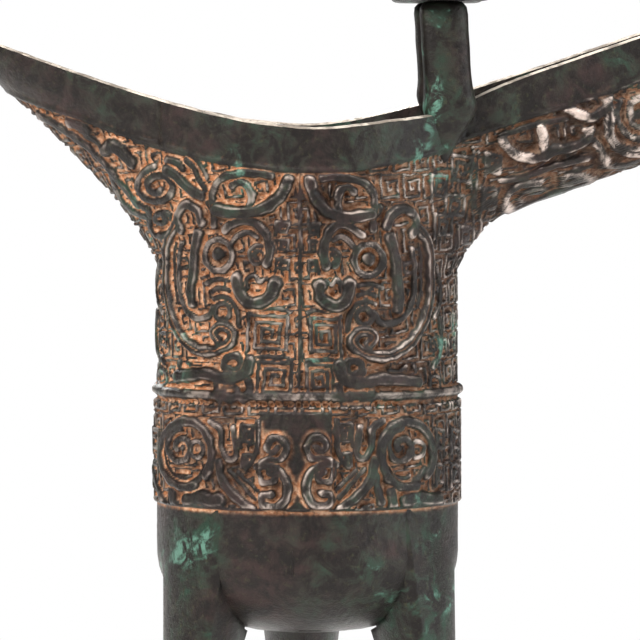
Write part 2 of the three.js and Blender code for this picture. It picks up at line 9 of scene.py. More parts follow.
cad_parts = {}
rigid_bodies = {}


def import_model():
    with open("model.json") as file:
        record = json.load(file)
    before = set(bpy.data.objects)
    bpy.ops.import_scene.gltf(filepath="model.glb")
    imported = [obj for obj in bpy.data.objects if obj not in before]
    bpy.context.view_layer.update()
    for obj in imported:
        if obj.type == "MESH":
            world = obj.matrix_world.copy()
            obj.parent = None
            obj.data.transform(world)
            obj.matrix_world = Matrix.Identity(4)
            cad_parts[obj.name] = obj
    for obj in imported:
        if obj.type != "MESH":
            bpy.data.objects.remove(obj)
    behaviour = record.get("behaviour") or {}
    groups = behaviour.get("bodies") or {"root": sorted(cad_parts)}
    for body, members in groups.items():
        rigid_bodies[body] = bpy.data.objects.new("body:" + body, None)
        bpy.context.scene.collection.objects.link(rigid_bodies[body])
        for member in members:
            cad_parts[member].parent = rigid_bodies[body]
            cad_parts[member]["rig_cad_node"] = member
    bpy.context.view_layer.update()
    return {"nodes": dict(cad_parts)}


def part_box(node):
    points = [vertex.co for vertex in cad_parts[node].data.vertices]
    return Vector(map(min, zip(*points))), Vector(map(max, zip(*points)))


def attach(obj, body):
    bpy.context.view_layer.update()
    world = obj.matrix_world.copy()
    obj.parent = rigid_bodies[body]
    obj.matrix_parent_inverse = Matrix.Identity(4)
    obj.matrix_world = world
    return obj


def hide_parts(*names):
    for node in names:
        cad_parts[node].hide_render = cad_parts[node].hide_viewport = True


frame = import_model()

MM = 0.001

# View: the camera stands a metre off, a little towards the tail and just above the height of the lip,
# and frames the bowl with the roots of spout, tail, posts and legs.
TAIL_REACH = 72.5
LIP_LOW_Z = 167.3
PHOTO_SIDE = 640
PIXELS_PER_MM = 5.08
AXIS_PIXEL_X = 307.5
LIP_LOW_PIXEL_Y = 127
VIEW_DISTANCE = 1.035
VIEW_AZIMUTH = math.radians(-2.6)
VIEW_HEIGHT_ABOVE_LIP = 0.0126
SENSOR = 36.0

cap_boxes = [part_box(f"post_cap_{side}") for side in ("near", "far")]
BOWL_AXIS = Vector((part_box("cup_body")[0].x + TAIL_REACH * MM,
                    sum(low.y + high.y for low, high in cap_boxes) / 4, 0.0))
centre_x = (PHOTO_SIDE / 2 - AXIS_PIXEL_X) / PIXELS_PER_MM * MM
centre_z = (LIP_LOW_Z - (PHOTO_SIDE / 2 - LIP_LOW_PIXEL_Y) / PIXELS_PER_MM) * MM
rise = LIP_LOW_Z * MM + VIEW_HEIGHT_ABOVE_LIP - centre_z
right_x = math.cos(VIEW_AZIMUTH)
right_y = math.sin(VIEW_AZIMUTH)
look_at = BOWL_AXIS + Vector((centre_x * right_x, centre_x * right_y, centre_z))
eye = look_at + Vector((VIEW_DISTANCE * right_y, -VIEW_DISTANCE * right_x, rise))
camera = bpy.data.objects.new("camera", bpy.data.cameras.new("camera"))
bpy.context.scene.collection.objects.link(camera)
camera.location = eye
camera.rotation_euler = (look_at - eye).to_track_quat("-Z", "Y").to_euler()
camera.data.sensor_width = SENSOR
camera.data.lens = SENSOR * VIEW_DISTANCE * PIXELS_PER_MM / PHOTO_SIDE / MM
camera.data.clip_start = 0.05
camera.data.clip_end = 20
bpy.context.scene.camera = camera

# Bowl: one thin bronze casting, a round cup drawn out into a channel spout and a pointed tail. It is drawn
# as level slices, each half a closed curve from tail to spout, because the ornament runs right round it.
HALF_WIDTH, HALF_DEPTH = 29.7, 28.0
WALL = 2.2
BELLY_Z, BELLY_ROUNDING, BELLY_SQUARENESS = 68.0, 17.0, 2.4
SHOULDER_Z, SIDE_FLARE = 136.0, 2.8
FLARE_TOP_Z = LIP_LOW_Z + 4
LIP_LOW_X = 1.0
TAIL_LIP_SLOPE, TAIL_LIP_ROUNDING = 0.41, 12.0
SPOUT_LIP_SLOPE, SPOUT_LIP_ROUNDING = 0.345, 5.0
LIP_DIP, LIP_DIP_X, LIP_DIP_SPREAD = 1.8, 25.0, 10.0
SPOUT_REACH, MOUTH_LEAN = 94.0, 3.0
SPOUT_KEEL_Z, SPOUT_HOOK, SPOUT_HOOK_LENGTH = 139.4, 9.9, 5.0
SPOUT_KEEL_SLOPE, SPOUT_TIP_TURN = 0.26, 9.0
SPOUT_ROOT_HALF_WIDTH, SPOUT_TIP_HALF_WIDTH, SPOUT_ROUNDNESS = 15.5, 10.5, 2.4
TAIL_KEEL_Z, TAIL_HOOK, TAIL_HOOK_LENGTH, TAIL_KEEL_SLOPE = 140.3, 7.1, 6.3, 0.92
TAIL_ROUNDNESS, TAIL_TAPER, TAIL_TIP_ROOM = 1.7, 0.8, 1
FILLET, ARM_BLEND = 7.0, 16.0
TAIL_COLUMNS, SPOUT_COLUMNS = 170, 250
BELLY_ROWS, WALL_ROWS, RIM_ROWS = 26, 220, 92
RIM_Z = 150.0
LEVEL_STEP, TOP_LEVEL = 0.4, 204
SLICE_POINTS, HALVINGS = 260, 30


def smooth(x, low, high):
    t = np.clip((x - low) / (high - low), 0, 1)
    return t * t * (3 - 2 * t)


def lip_z(x, near):
    out = np.asarray(x) - LIP_LOW_X
    slope = np.where(out < 0, TAIL_LIP_SLOPE, SPOUT_LIP_SLOPE)
    rounding = np.where(out < 0, TAIL_LIP_ROUNDING, SPOUT_LIP_ROUNDING)
    dip = LIP_DIP * np.exp(-((np.asarray(x) - LIP_DIP_X) / LIP_DIP_SPREAD) ** 2) if near else 0
    return LIP_LOW_Z + np.hypot(rounding, slope * out) - rounding - dip


def spout_keel_z(x):
    out = np.maximum(0, x - HALF_WIDTH)
    length = SPOUT_REACH - HALF_WIDTH
    hook = SPOUT_HOOK * (1 - np.exp(-out / SPOUT_HOOK_LENGTH))
    return SPOUT_KEEL_Z + hook + SPOUT_KEEL_SLOPE * out + SPOUT_TIP_TURN * (out / length) ** 4


def tail_keel_z(x):
    out = np.maximum(0, -x - HALF_WIDTH)
    return TAIL_KEEL_Z + TAIL_HOOK * (1 - np.exp(-out / TAIL_HOOK_LENGTH)) + TAIL_KEEL_SLOPE * out


def channel(x, z, keel, width, roundness, inset):
    """Half the width of the spout or tail at height z, which opens out from its keel to the lip."""
    low = keel + inset
    up = np.clip((z - low) / (lip_z(x, False) - low), 0, 1)
    return np.maximum(0, width - inset) * (1 - (1 - up) ** roundness) ** (1 / roundness)


def belly_share(z, bottom):
    """How much of the bowl's full radius it has at height z, over its rounded underside."""
    up = np.clip((z - bottom) / BELLY_ROUNDING, 0, 1)
    return (1 - (1 - up) ** BELLY_SQUARENESS) ** (1 / BELLY_SQUARENESS)


def slice_y(x, z, inset):
    """Half the width of the level slice at height z, at each x."""
    share = belly_share(z, BELLY_Z + inset)
    a = (HALF_WIDTH - inset) * share
    b = (HALF_DEPTH - inset + SIDE_FLARE * smooth(z, SHOULDER_Z, FLARE_TOP_Z)) * share
    bowl = b * np.sqrt(np.maximum(0, 1 - (x / max(a, 1e-6)) ** 2))
    along = (x - HALF_WIDTH) / (SPOUT_REACH - HALF_WIDTH)
    spout_width = SPOUT_ROOT_HALF_WIDTH + (SPOUT_TIP_HALF_WIDTH - SPOUT_ROOT_HALF_WIDTH) * along
    spout = channel(x, z, spout_keel_z(x), spout_width, SPOUT_ROUNDNESS, inset)
    left = np.clip(1 + x / (TAIL_REACH + TAIL_TIP_ROOM), 0, 1)
    tail_width = (HALF_DEPTH + SIDE_FLARE) * left ** TAIL_TAPER
    tail = channel(x, z, tail_keel_z(x), tail_width, TAIL_ROUNDNESS, inset)
    arm = np.where(x > 0, spout, tail) * smooth(np.abs(x), 0, ARM_BLEND)
    fillet = FILLET * np.minimum(1, np.minimum(arm, bowl) / FILLET)
    return (bowl + arm + np.sqrt((bowl - arm) ** 2 + fillet ** 2)) / 2


def mouth_x(z):
    low = spout_keel_z(SPOUT_REACH)
    high = lip_z(SPOUT_REACH, False)
    return SPOUT_REACH - MOUTH_LEAN * (1 - np.clip((z - low) / (high - low), 0, 1))


def quarter(z, inset, side, columns):
    """Evenly spaced points of a slice from x = 0 out to its end, and their distance along it."""
    reach = mouth_x(z) if side > 0 else TAIL_REACH
    low, high = 0.0, reach
    if slice_y(np.array([reach * side]), z, inset)[0] < 0.02:
        for _ in range(HALVINGS):
            middle = (low + high) / 2
            if slice_y(np.array([middle * side]), z, inset)[0] > 0.001:
                low = middle
            else:
                high = middle
    end = high
    x = side * end * np.sin(np.linspace(0, math.pi / 2, SLICE_POINTS))
    y = slice_y(x, z, inset)
    if end < reach:
        y[-1] = 0
    along = np.concatenate([[0], np.cumsum(np.hypot(np.diff(x), np.diff(y)))])
    wanted = np.linspace(0, along[-1], columns + 1)
    return np.interp(wanted, along, x), np.interp(wanted, along, y), side * wanted


def half_slices(inset):
    """Many levels, and tables of x, y and distance along the slice at each, tail end first."""
    floor = BELLY_Z + inset
    turn = np.linspace(0.02, math.pi / 2, BELLY_ROWS)
    levels = np.concatenate([floor + BELLY_ROUNDING * (1 - np.cos(turn)),
                             np.arange(floor + BELLY_ROUNDING + LEVEL_STEP, TOP_LEVEL, LEVEL_STEP)])
    tables = []
    for z in levels:
        tail = quarter(z, inset, -1, TAIL_COLUMNS)
        spout = quarter(z, inset, 1, SPOUT_COLUMNS)
        tables.append([np.concatenate([t[:0:-1], s]) for t, s in zip(tail, spout)])
    return levels, np.array(tables).transpose(1, 0, 2)


def top_of_columns(levels, x_table, near):
    """Height at which each column meets the lip."""
    above = levels[:, None] - lip_z(x_table, near)
    tops = np.empty(x_table.shape[1])
    for c in range(x_table.shape[1]):
        k = np.nonzero(above[:, c] < 0)[0][-1]
        f = -above[k, c] / (above[k + 1, c] - above[k, c])
        tops[c] = levels[k] + f * (levels[k + 1] - levels[k])
    return tops


def half_grid(inset, near, wall_rows, rim_rows):
    """x, y, z and distance along the slice, row by row from the underside to the lip."""
    levels, tables = half_slices(inset)
    tops = top_of_columns(levels, tables[0], near)
    belly = levels[:BELLY_ROWS]
    straight = np.linspace(belly[-1], RIM_Z, wall_rows)[1:]
    rows = [np.full(tops.shape, z) for z in np.concatenate([belly, straight])]
    rows += [RIM_Z + (tops - RIM_Z) * share for share in np.linspace(0, 1, rim_rows)[1:]]
    z_grid = np.array(rows)
    out = []
    for table in tables:
        columns = [np.interp(z_grid[:, c], levels, table[:, c]) for c in range(z_grid.shape[1])]
        out.append(np.array(columns).T)
    x_grid, y_grid, u_grid = out
    x_grid[0] *= 0.01
    y_grid[0] *= 0.01
    return x_grid, -y_grid if near else y_grid, z_grid, u_grid


def grid_points(x, y, z):
    return np.stack([x * MM + BOWL_AXIS.x, y * MM + BOWL_AXIS.y, z * MM], axis=-1)


def grid_faces(rows, columns, flip):
    r, c = np.meshgrid(np.arange(rows - 1), np.arange(columns - 1), indexing="ij")
    a = (r * columns + c).ravel()
    quads = np.stack([a, a + 1, a + 1 + columns, a + columns], axis=-1)
    return quads[:, ::-1] if flip else quads


near_grid = half_grid(0, True, WALL_ROWS, RIM_ROWS)
far_grid = half_grid(0, False, WALL_ROWS, RIM_ROWS)

# Ornament: cast in low relief from carved moulds. A mask with round eyes fills the upper register, a row of
# small dragons the lower one, and longer dragons run out along the spout and tail. Its lines are drawn
# where the photograph shows them, in pixels, and each point is carried along the line of sight to the wall.
PROBE_STEP = 3
probe = [g[::PROBE_STEP, ::PROBE_STEP] for g in near_grid]
probe_points = grid_points(*probe[:3]).reshape(-1, 3)
probe_faces = grid_faces(*probe[0].shape, False)
probe_tree = BVHTree.FromPolygons([Vector(p) for p in probe_points],
                                  [tuple(int(i) for i in f) for f in probe_faces])
probe_u = probe[3].ravel()
camera_turn = camera.rotation_euler.to_matrix()


def on_wall(px, py):
    """Distance along the wall and height, in mm, of a pixel of the photograph."""
    focal = VIEW_DISTANCE * PIXELS_PER_MM / MM
    ray = camera_turn @ Vector((px - PHOTO_SIDE / 2, PHOTO_SIDE / 2 - py, -focal)).normalized()
    hit, _, index, _ = probe_tree.ray_cast(eye, ray)
    if hit is None:
        hit, _, index, _ = probe_tree.find_nearest(eye + ray * VIEW_DISTANCE)
    corners = probe_faces[index]
    weights = [1 / ((Vector(probe_points[i]) - hit).length_squared + 1e-12) for i in corners]
    u = sum(w * probe_u[i] for w, i in zip(weights, corners)) / sum(weights)
    return np.array([u, hit.z / MM])


def spline(points, steps=7):
    """A smooth line through the points."""
    p = np.asarray(points, float)
    if len(p) < 3:
        return p
    padded = np.vstack([2 * p[0] - p[1], p, 2 * p[-1] - p[-2]])
    t = np.linspace(0, 1, steps, endpoint=False)[:, None]
    out = []
    for i in range(1, len(padded) - 2):
        a, b, c, d = padded[i - 1:i + 3]
        out.append(0.5 * (2 * b + (c - a) * t + (2 * a - 5 * b + 4 * c - d) * t ** 2
                          + (3 * b - 3 * c + d - a) * t ** 3))
    return np.vstack(out + [p[-1:]])


def ring(cx, cy, rx, ry, start=0.0, turn=360.0, shrink=1.0):
    """Points in pixels round an oval; shrink below 1 makes it a spiral that winds in."""
    steps = max(8, int(abs(turn) / 22))
    t = np.linspace(0, 1, steps + 1)
    angle = np.radians(start + turn * t)
    size = 1 + (shrink - 1) * t
    return [(cx + rx * s * math.cos(a), cy - ry * s * math.sin(a)) for a, s in zip(angle, size)]


def square_spiral(cx, cy, w, h, turns):
    """Points in pixels of a squared spiral, the thunder pattern that fills the ground."""
    out = []
    corners = [(-1, 1), (-1, -1), (1, -1), (1, 1)]
    count = int(turns * 4)
    for i in range(count + 1):
        size = 1 - i / (count + 1.5)
        kx, ky = corners[i % 4]
        out.append((cx + kx * w / 2 * size, cy + ky * h / 2 * size))
    return out


ridges = []
grooves = []
domes = []


def same(point):
    return point


def carve(place, ridge_lines, groove_lines=(), spirals=()):
    """Cut one drawing, each of its points moved by place. Ridges hold points, half width and height."""
    for points, half, height, *crease in ridge_lines:
        line = spline([on_wall(*place(p)) for p in points])
        ridges.append((line, half, height, *(crease or (0.0,))))
    for points, half, depth in groove_lines:
        grooves.append((spline([on_wall(*place(p)) for p in points]), half, depth))
    for cx, cy, w, h, turns, half, height in spirals:
        line = np.array([on_wall(*place(p)) for p in square_spiral(cx, cy, w, h, turns)])
        ridges.append((line, half, height, 0.0))


HORN = [
    ([(214, 209), (213, 193), (220, 180), (236, 174), (256, 173), (272, 176)], 0.7, 1.0),
    ([(217, 209), (232, 212), (250, 212), (268, 206), (281, 194), (288, 180)], 1.05, 1.35),
    ([(250, 209), (252, 196), (248, 186), (240, 182), (233, 186)], 0.7, 1.1),
    ([(209, 203), (214, 213), (214, 224)], 0.75, 0.8),
]
HORN_HOLLOWS = [
    ([(226, 199), (234, 202), (242, 199)], 1.1, 0.5),
    ([(259, 199), (268, 196), (276, 189)], 0.9, 0.5),
]
BROW = [
    ([(226, 230), (234, 223), (247, 220), (259, 225), (267, 236), (270, 250), (267, 264)], 0.8, 1.15),
    ([(232, 243), (239, 235), (249, 232), (257, 236)], 0.55, 0.9),
]
EYE = [(ring(219, 255, 13.5, 15.5), 0.62, 0.95), (ring(258, 256, 9.5, 11, 60, 560, 0.25), 0.42, 0.75)]
EYE_GROOVE = [(ring(219, 255, 8.5, 9.5), 0.5, 0.45)]
EAR_AND_TRUNK = [
    ([(199, 232), (196, 250), (194, 270), (192, 290), (193, 303)], 1.0, 1.15),
    ([(203, 222), (199, 211), (190, 204), (182, 208), (179, 218), (182, 229)], 0.85, 1.2),
    ([(179, 222), (171, 236), (168, 256), (168, 282), (171, 306), (177, 326), (187, 342), (203, 351),
      (220, 349), (232, 341), (232, 331), (223, 326), (215, 332), (219, 340)], 1.0, 1.25, 0.4),
    ([(182, 244), (180, 266), (181, 290), (186, 308), (196, 318), (208, 317), (214, 308)], 0.6, 0.9),
    ([(175, 243), (174, 262), (174, 282), (177, 302)], 0.36, 0.5),
    (ring(184, 263, 4.5, 5), 0.4, 0.6),
    (ring(223, 312, 7.5, 8.5), 0.55, 0.85),
]
NOSTRIL = [
    ([(238, 279), (241, 292), (249, 301), (261, 302), (271, 295), (275, 283)], 1.15, 1.4),
    ([(247, 288), (247, 280), (254, 276), (260, 281), (268, 279), (272, 286)], 0.5, 0.9),
    ([(206, 283), (217, 279), (229, 281)], 0.45, 0.6),
    ([(212, 291), (220, 288), (229, 291)], 0.45, 0.6),
    ([(213, 299), (222, 297), (232, 301), (237, 312), (239, 326)], 0.5, 0.7),
]
NOSTRIL_GROOVE = [([(250, 292), (259, 294), (266, 289)], 0.8, 0.4)]
THUNDER_BARS = [
    ([(248, 313), (262, 309), (280, 309), (290, 312)], 0.45, 0.7),
    ([(246, 358), (262, 357), (282, 358), (291, 360)], 0.4, 0.65),
]
THUNDER_SPIRALS = [(269, 334, 44, 41, 2.9, 0.36, 0.75), (276, 379, 38, 37, 2.7, 0.36, 0.75)]
THUNDER_SPIRALS += [(283, cy, 15, 14, 1.7, 0.34, 0.65) for cy in (228, 246, 265)]
PAW = [
    (ring(233, 363, 9.5, 8.5, 200, 400, 0.8), 0.75, 1.0),
    (ring(231, 393, 8.5, 8, 120, 400, 0.85), 0.65, 0.9),
    ([(178, 377), (192, 375), (207, 374), (219, 377), (233, 378), (246, 372), (250, 361)], 1.1, 1.2),
    ([(217, 378), (217, 389), (220, 400)], 0.8, 0.95),
    ([(249, 381), (250, 391), (244, 400)], 0.8, 0.95),
    ([(180, 361), (180, 369), (187, 371), (198, 370)], 0.45, 0.7),
    ([(186, 362), (192, 366), (201, 366)], 0.38, 0.6),
    ([(160, 398), (172, 394), (186, 397), (200, 394), (208, 400)], 0.5, 0.6),
]
CHEEK = [
    ([(160, 262), (157, 282), (158, 300), (163, 312)], 0.5, 0.75),
    ([(158, 312), (156, 330), (158, 350), (164, 362)], 0.6, 0.8),
    (ring(162, 378, 5, 8), 0.42, 0.65),
]
CHEEK_SPIRAL = [(163, 340, 9, 18, 1.6, 0.34, 0.6)]
PUPIL = (217.5, 253)
PUPIL_RADIUS, PUPIL_HEIGHT = 1.75, 1.25
MASK_SEAM = 300
SEAM_LINE = [([(299, 176), (300, 240), (300, 320), (299, 398)], 0.3, 0.45)]
NARROWEST, WIDENING, WIDENING_FROM, WIDENING_OVER = 0.78, 0.20, 60, 70
DROP, DROP_OVER = 5, 60


def mirrored(point):
    """The mask's other half: a little narrower beside the seam, and set a little lower."""
    out = MASK_SEAM - point[0]
    narrowing = NARROWEST + WIDENING * float(np.clip((out - WIDENING_FROM) / WIDENING_OVER, 0, 1))
    return MASK_SEAM + out * narrowing, point[1] + DROP * float(np.clip(out / DROP_OVER, 0, 1))


for place in (same, mirrored):
    carve(place, HORN + BROW + EYE + EAR_AND_TRUNK + NOSTRIL + THUNDER_BARS + PAW + CHEEK,
          HORN_HOLLOWS + EYE_GROOVE + NOSTRIL_GROOVE, THUNDER_SPIRALS + CHEEK_SPIRAL)
    domes.append((on_wall(*place(PUPIL)), PUPIL_RADIUS, PUPIL_HEIGHT))
carve(same, SEAM_LINE)

# Lower register: a plain panel with two scrolls stands between two dragons, each seen from the side, with
# its spiral eye in an oval and its claws below.
PANEL_SEAM = 297
PANEL_HALF_PIXELS, PANEL_PIXEL_Y = (259, 333), 460
PANEL_SCROLLS = [
    ([(262, 463), (270, 459), (281, 459), (287, 449), (282, 439), (273, 439), (269, 447), (274, 452),
      (279, 447)], 0.62, 0.95),
    ([(259, 466), (268, 465), (280, 470), (287, 482), (287, 497), (278, 506), (266, 504), (264, 496),
      (272, 494)], 0.72, 1.0),
    ([(261, 472), (264, 481), (273, 482), (277, 476), (271, 472)], 0.6, 0.9),
]
DRAGON_NECK = [
    ([(258, 422), (258, 440), (256, 456), (247, 468)], 0.5, 0.75),
    ([(213, 422), (223, 430), (224, 447), (230, 459), (238, 455), (237, 440), (235, 428)], 0.62, 0.9),
    ([(221, 462), (225, 480), (236, 495), (253, 509)], 0.85, 1.0),
    ([(231, 470), (242, 483), (256, 499)], 0.42, 0.65),
    ([(239, 472), (249, 481), (258, 490)], 0.42, 0.65),
]
NECK_SPIRALS = [(249, 435, 13, 23, 1.8, 0.4, 0.7), (250, 460, 12, 13, 1.4, 0.4, 0.7)]
DRAGON_HEAD_X = (188, 402)
DRAGON_HEAD = [
    (ring(2, 454, 25, 33, -40, 330), 0.85, 1.1),
    (ring(-3, 447, 15, 19, 90, 470, 0.28), 0.62, 0.95),
    (ring(12, 449, 6.5, 8, 180, 330), 0.5, 0.9),
    (ring(-1, 452, 19, 26, 120, 170), 0.4, 0.6),
    ([(-14, 482), (0, 487), (12, 480), (20, 468)], 0.6, 0.8),
    ([(2, 500), (14, 497), (26, 500), (34, 499)], 1.2, 1.05),
    ([(-12, 492), (-11, 504)], 0.9, 0.95),
    ([(-30, 470), (-26, 488), (-22, 502)], 0.7, 0.85),
]
DRAGON_PUPIL, DRAGON_PUPIL_RADIUS, DRAGON_PUPIL_HEIGHT = (-3, 447), 0.85, 0.9
SIDE_SPIRALS = [(cx, cy, 9, h, 1.6, 0.4, 0.7) for cx in (159, 437, 452) for cy, h in ((440, 26), (474, 24))]


def panel_mirror(point):
    return 2 * PANEL_SEAM - point[0], point[1] - 1


for place in (same, panel_mirror):
    carve(place, PANEL_SCROLLS + DRAGON_NECK, (), NECK_SPIRALS)
for head_x in DRAGON_HEAD_X:
    def beside(point):
        return head_x + point[0], point[1]

    carve(beside, DRAGON_HEAD)
    domes.append((on_wall(*beside(DRAGON_PUPIL)), DRAGON_PUPIL_RADIUS, DRAGON_PUPIL_HEIGHT))
carve(same, (), (), SIDE_SPIRALS)

# Tail and spout: a dragon with its back along the keel on the tail, and on the spout squared spirals at
# the root, then a dragon with a hollow-eyed head that looks towards the mouth.
TAIL_DRAGON = [
    ([(40, 115), (58, 126), (82, 142), (102, 161), (121, 183), (138, 205)], 0.75, 0.95),
    ([(69, 122), (76, 124), (86, 130)], 1.0, 1.0),
    ([(105, 150), (111, 146), (120, 150), (133, 162)], 1.1, 1.1),
    ([(133, 140), (150, 145), (166, 150), (184, 154)], 0.45, 0.6),
    (ring(158, 186, 22, 19, 100, 560, 0.3), 0.7, 0.9),
    ([(167, 160), (176, 162), (183, 168)], 0.7, 0.9),
    ([(166, 170), (174, 173), (182, 181), (192, 190), (203, 196)], 0.9, 1.1),
    ([(186, 160), (194, 168), (199, 180), (206, 190)], 0.6, 0.8),
    ([(192, 156), (201, 166), (207, 178)], 0.5, 0.7),
    ([(112, 176), (117, 190), (124, 202), (134, 212), (146, 216)], 0.75, 0.9),
    (ring(162, 219, 9, 7, 0, 420, 0.4), 0.6, 0.8),
    ([(140, 205), (150, 212), (150, 226), (157, 236), (168, 234), (176, 226)], 0.7, 0.85),
    ([(86, 136), (98, 142), (104, 153)], 0.6, 0.8),
]
SPOUT_EDGES = [([(x, 152), (x, 180), (x, 210), (x - 1, 238)], 0.3, 0.6) for x in (473, 478)]
SPOUT_SPIRAL_PLACES = [(462, 170, 22, 33), (493, 165, 18, 24), (456, 206, 22, 26), (489, 200, 16, 26),
                       (440, 187, 16, 28), (444, 226, 20, 26), (466, 236, 16, 22)]
SPOUT_SPIRALS = [(*spiral, 2.2, 0.4, 0.7) for spiral in SPOUT_SPIRAL_PLACES]
SPOUT_DRAGON = [
    ([(502, 141), (512, 152), (526, 157), (541, 156), (543, 144), (542, 128)], 0.85, 1.2),
    ([(545, 156), (554, 149), (566, 148), (586, 140), (592, 130)], 0.85, 1.2),
    ([(501, 136), (522, 129), (545, 123), (566, 119)], 0.5, 0.7),
    ([(569, 108), (583, 116), (595, 116), (604, 107), (609, 99)], 0.85, 1.2),
    ([(609, 100), (608, 116), (610, 134), (620, 147), (640, 151), (662, 147)], 0.95, 1.25, 0.4),
    (ring(640, 115, 23, 27, 150, 560, 0.3), 0.7, 1.0),
    ([(586, 130), (598, 145), (607, 163)], 0.7, 0.9),
    ([(500, 181), (524, 177), (551, 167), (588, 158)], 0.6, 0.8),
    ([(540, 182), (522, 184), (508, 194), (506, 206), (514, 213), (530, 211), (551, 202), (566, 196)],
     0.7, 0.9),
    ([(548, 188), (530, 191), (519, 199), (522, 206), (536, 203)], 0.45, 0.7),
    (ring(577, 183, 19, 10, 0, 560, 0.3), 0.55, 0.8),
    ([(604, 166), (622, 166), (645, 158), (670, 152)], 0.5, 0.7),
]
SPOUT_HOLLOWS = [
    ([(512, 144), (524, 149), (535, 147)], 1.0, 0.4),
    ([(556, 142), (566, 141), (578, 135)], 0.9, 0.4),
]
SPOUT_PUPIL, SPOUT_PUPIL_RADIUS, SPOUT_PUPIL_HEIGHT = (640, 115), 1.5, 1.1
CURL_COUNT, CURL_STEP_X, CURL_STEP_Y = 5, 26, -9
BODY_CURL = [(ring(676, 98, 11, 14, 150, 480, 0.3), 0.6, 0.85), ([(664, 128), (676, 124)], 0.6, 0.8)]

carve(same, TAIL_DRAGON)
carve(same, SPOUT_EDGES + SPOUT_DRAGON, SPOUT_HOLLOWS, SPOUT_SPIRALS)
domes.append((on_wall(*SPOUT_PUPIL), SPOUT_PUPIL_RADIUS, SPOUT_PUPIL_HEIGHT))
for step in range(CURL_COUNT):
    def further_out(point):
        return point[0] + CURL_STEP_X * step, point[1] + CURL_STEP_Y * step

    carve(further_out, BODY_CURL)

# Skin of the bowl: the drawn lines stand out from a sunk ground of fine squared spirals, under a plain
# band, with a cord between the two registers and a raised belt behind the lower one.
EDGE_PIXELS = [(6, 98), (50, 111), (80, 120), (106, 131), (133, 140), (166, 149), (199, 160), (232, 166),
               (286, 173), (347, 173), (380, 167), (438, 154), (480, 135), (529, 119), (567, 108), (612, 94),
               (640, 82), (720, 60)]
CORD_Z, CORD_HALF, CORD_HEIGHT = 115.9, 0.95, 0.95
BAND_LOW_Z, BAND_HIGH_Z, BAND_STEP = 93.8, 113.9, 0.75
PANEL_TOP_Z = 112.6
GROUND_SINK = 0.7
THREAD_PITCH, THREAD_CELL, THREAD_HEIGHT = 1.5, 5.2, 0.6
LINE_WIDER, LINE_TALLER = 1.5, 1.3
WOBBLE = 0.16
EDGE_BEAD_HEIGHT, EDGE_BEAD_HALF = 0.25, 0.5

ornament_edge = np.array([on_wall(*p) for p in EDGE_PIXELS])
ornament_edge = ornament_edge[np.argsort(ornament_edge[:, 0])]
panel_ends = [on_wall(px, PANEL_PIXEL_Y)[0] for px in PANEL_HALF_PIXELS]
panel_u = sum(panel_ends) / 2
panel_half = (panel_ends[1] - panel_ends[0]) / 2


def line_field(u, z, line, reach):
    """The grid points that lie within reach of a line, and their distance from it."""
    low, high = line.min(0) - reach, line.max(0) + reach
    near = np.nonzero((u > low[0]) & (u < high[0]) & (z > low[1]) & (z < high[1]))
    p = np.stack([u[near], z[near]], -1)
    best = np.full(len(p), 1e9)
    for a, b in zip(line[:-1], line[1:]):
        ab = b - a
        t = np.clip(((p - a) @ ab) / max(ab @ ab, 1e-9), 0, 1)
        d = p - a - t[:, None] * ab
        best = np.minimum(best, np.einsum("ij,ij->i", d, d))
    return near, np.sqrt(best)


def wander(u, z, scale, seed):
    """A smooth made-up unevenness between -1 and 1."""
    rng = np.random.default_rng(seed)
    total = np.zeros_like(u)
    for _ in range(7):
        angle, phase = rng.uniform(0, 2 * math.pi, 2)
        k = 2 * math.pi / scale * rng.uniform(0.6, 1.6)
        total += np.sin(k * (u * math.cos(angle) + z * math.sin(angle)) + phase)
    return total / 4.2


def raised_lines(u, z):
    """Height of the ridges and domes over the ground."""
    raised = np.zeros_like(u)
    for line, half, height, crease in ridges:
        half, height = half * LINE_WIDER, height * LINE_TALLER
        near, d = line_field(u, z, line, half * 1.6)
        body = height * (1 - smooth(d, half * 0.45, half * 1.25))
        if crease:
            body -= crease * (1 - smooth(d, 0, half * 0.35))
        raised[near] = np.maximum(raised[near], body)
    for centre, radius, height in domes:
        d = np.hypot(u - centre[0], z - centre[1])
        raised = np.maximum(raised, height * np.sqrt(np.clip(1 - (d / radius) ** 2, 0, 1)))
    return raised


def thunder_ground(u, z):
    """Height of the thread of squared spirals, set in staggered cells."""
    row = np.round(z / THREAD_CELL)
    cell_u = u / THREAD_CELL - 0.5 * (row % 2)
    du = (cell_u - np.round(cell_u)) * THREAD_CELL
    dz = z - row * THREAD_CELL
    square = np.maximum(np.abs(du), np.abs(dz)) + THREAD_PITCH * np.arctan2(dz, du) / (2 * math.pi)
    return THREAD_HEIGHT * smooth(np.cos(2 * math.pi * square / THREAD_PITCH), -0.1, 0.75)


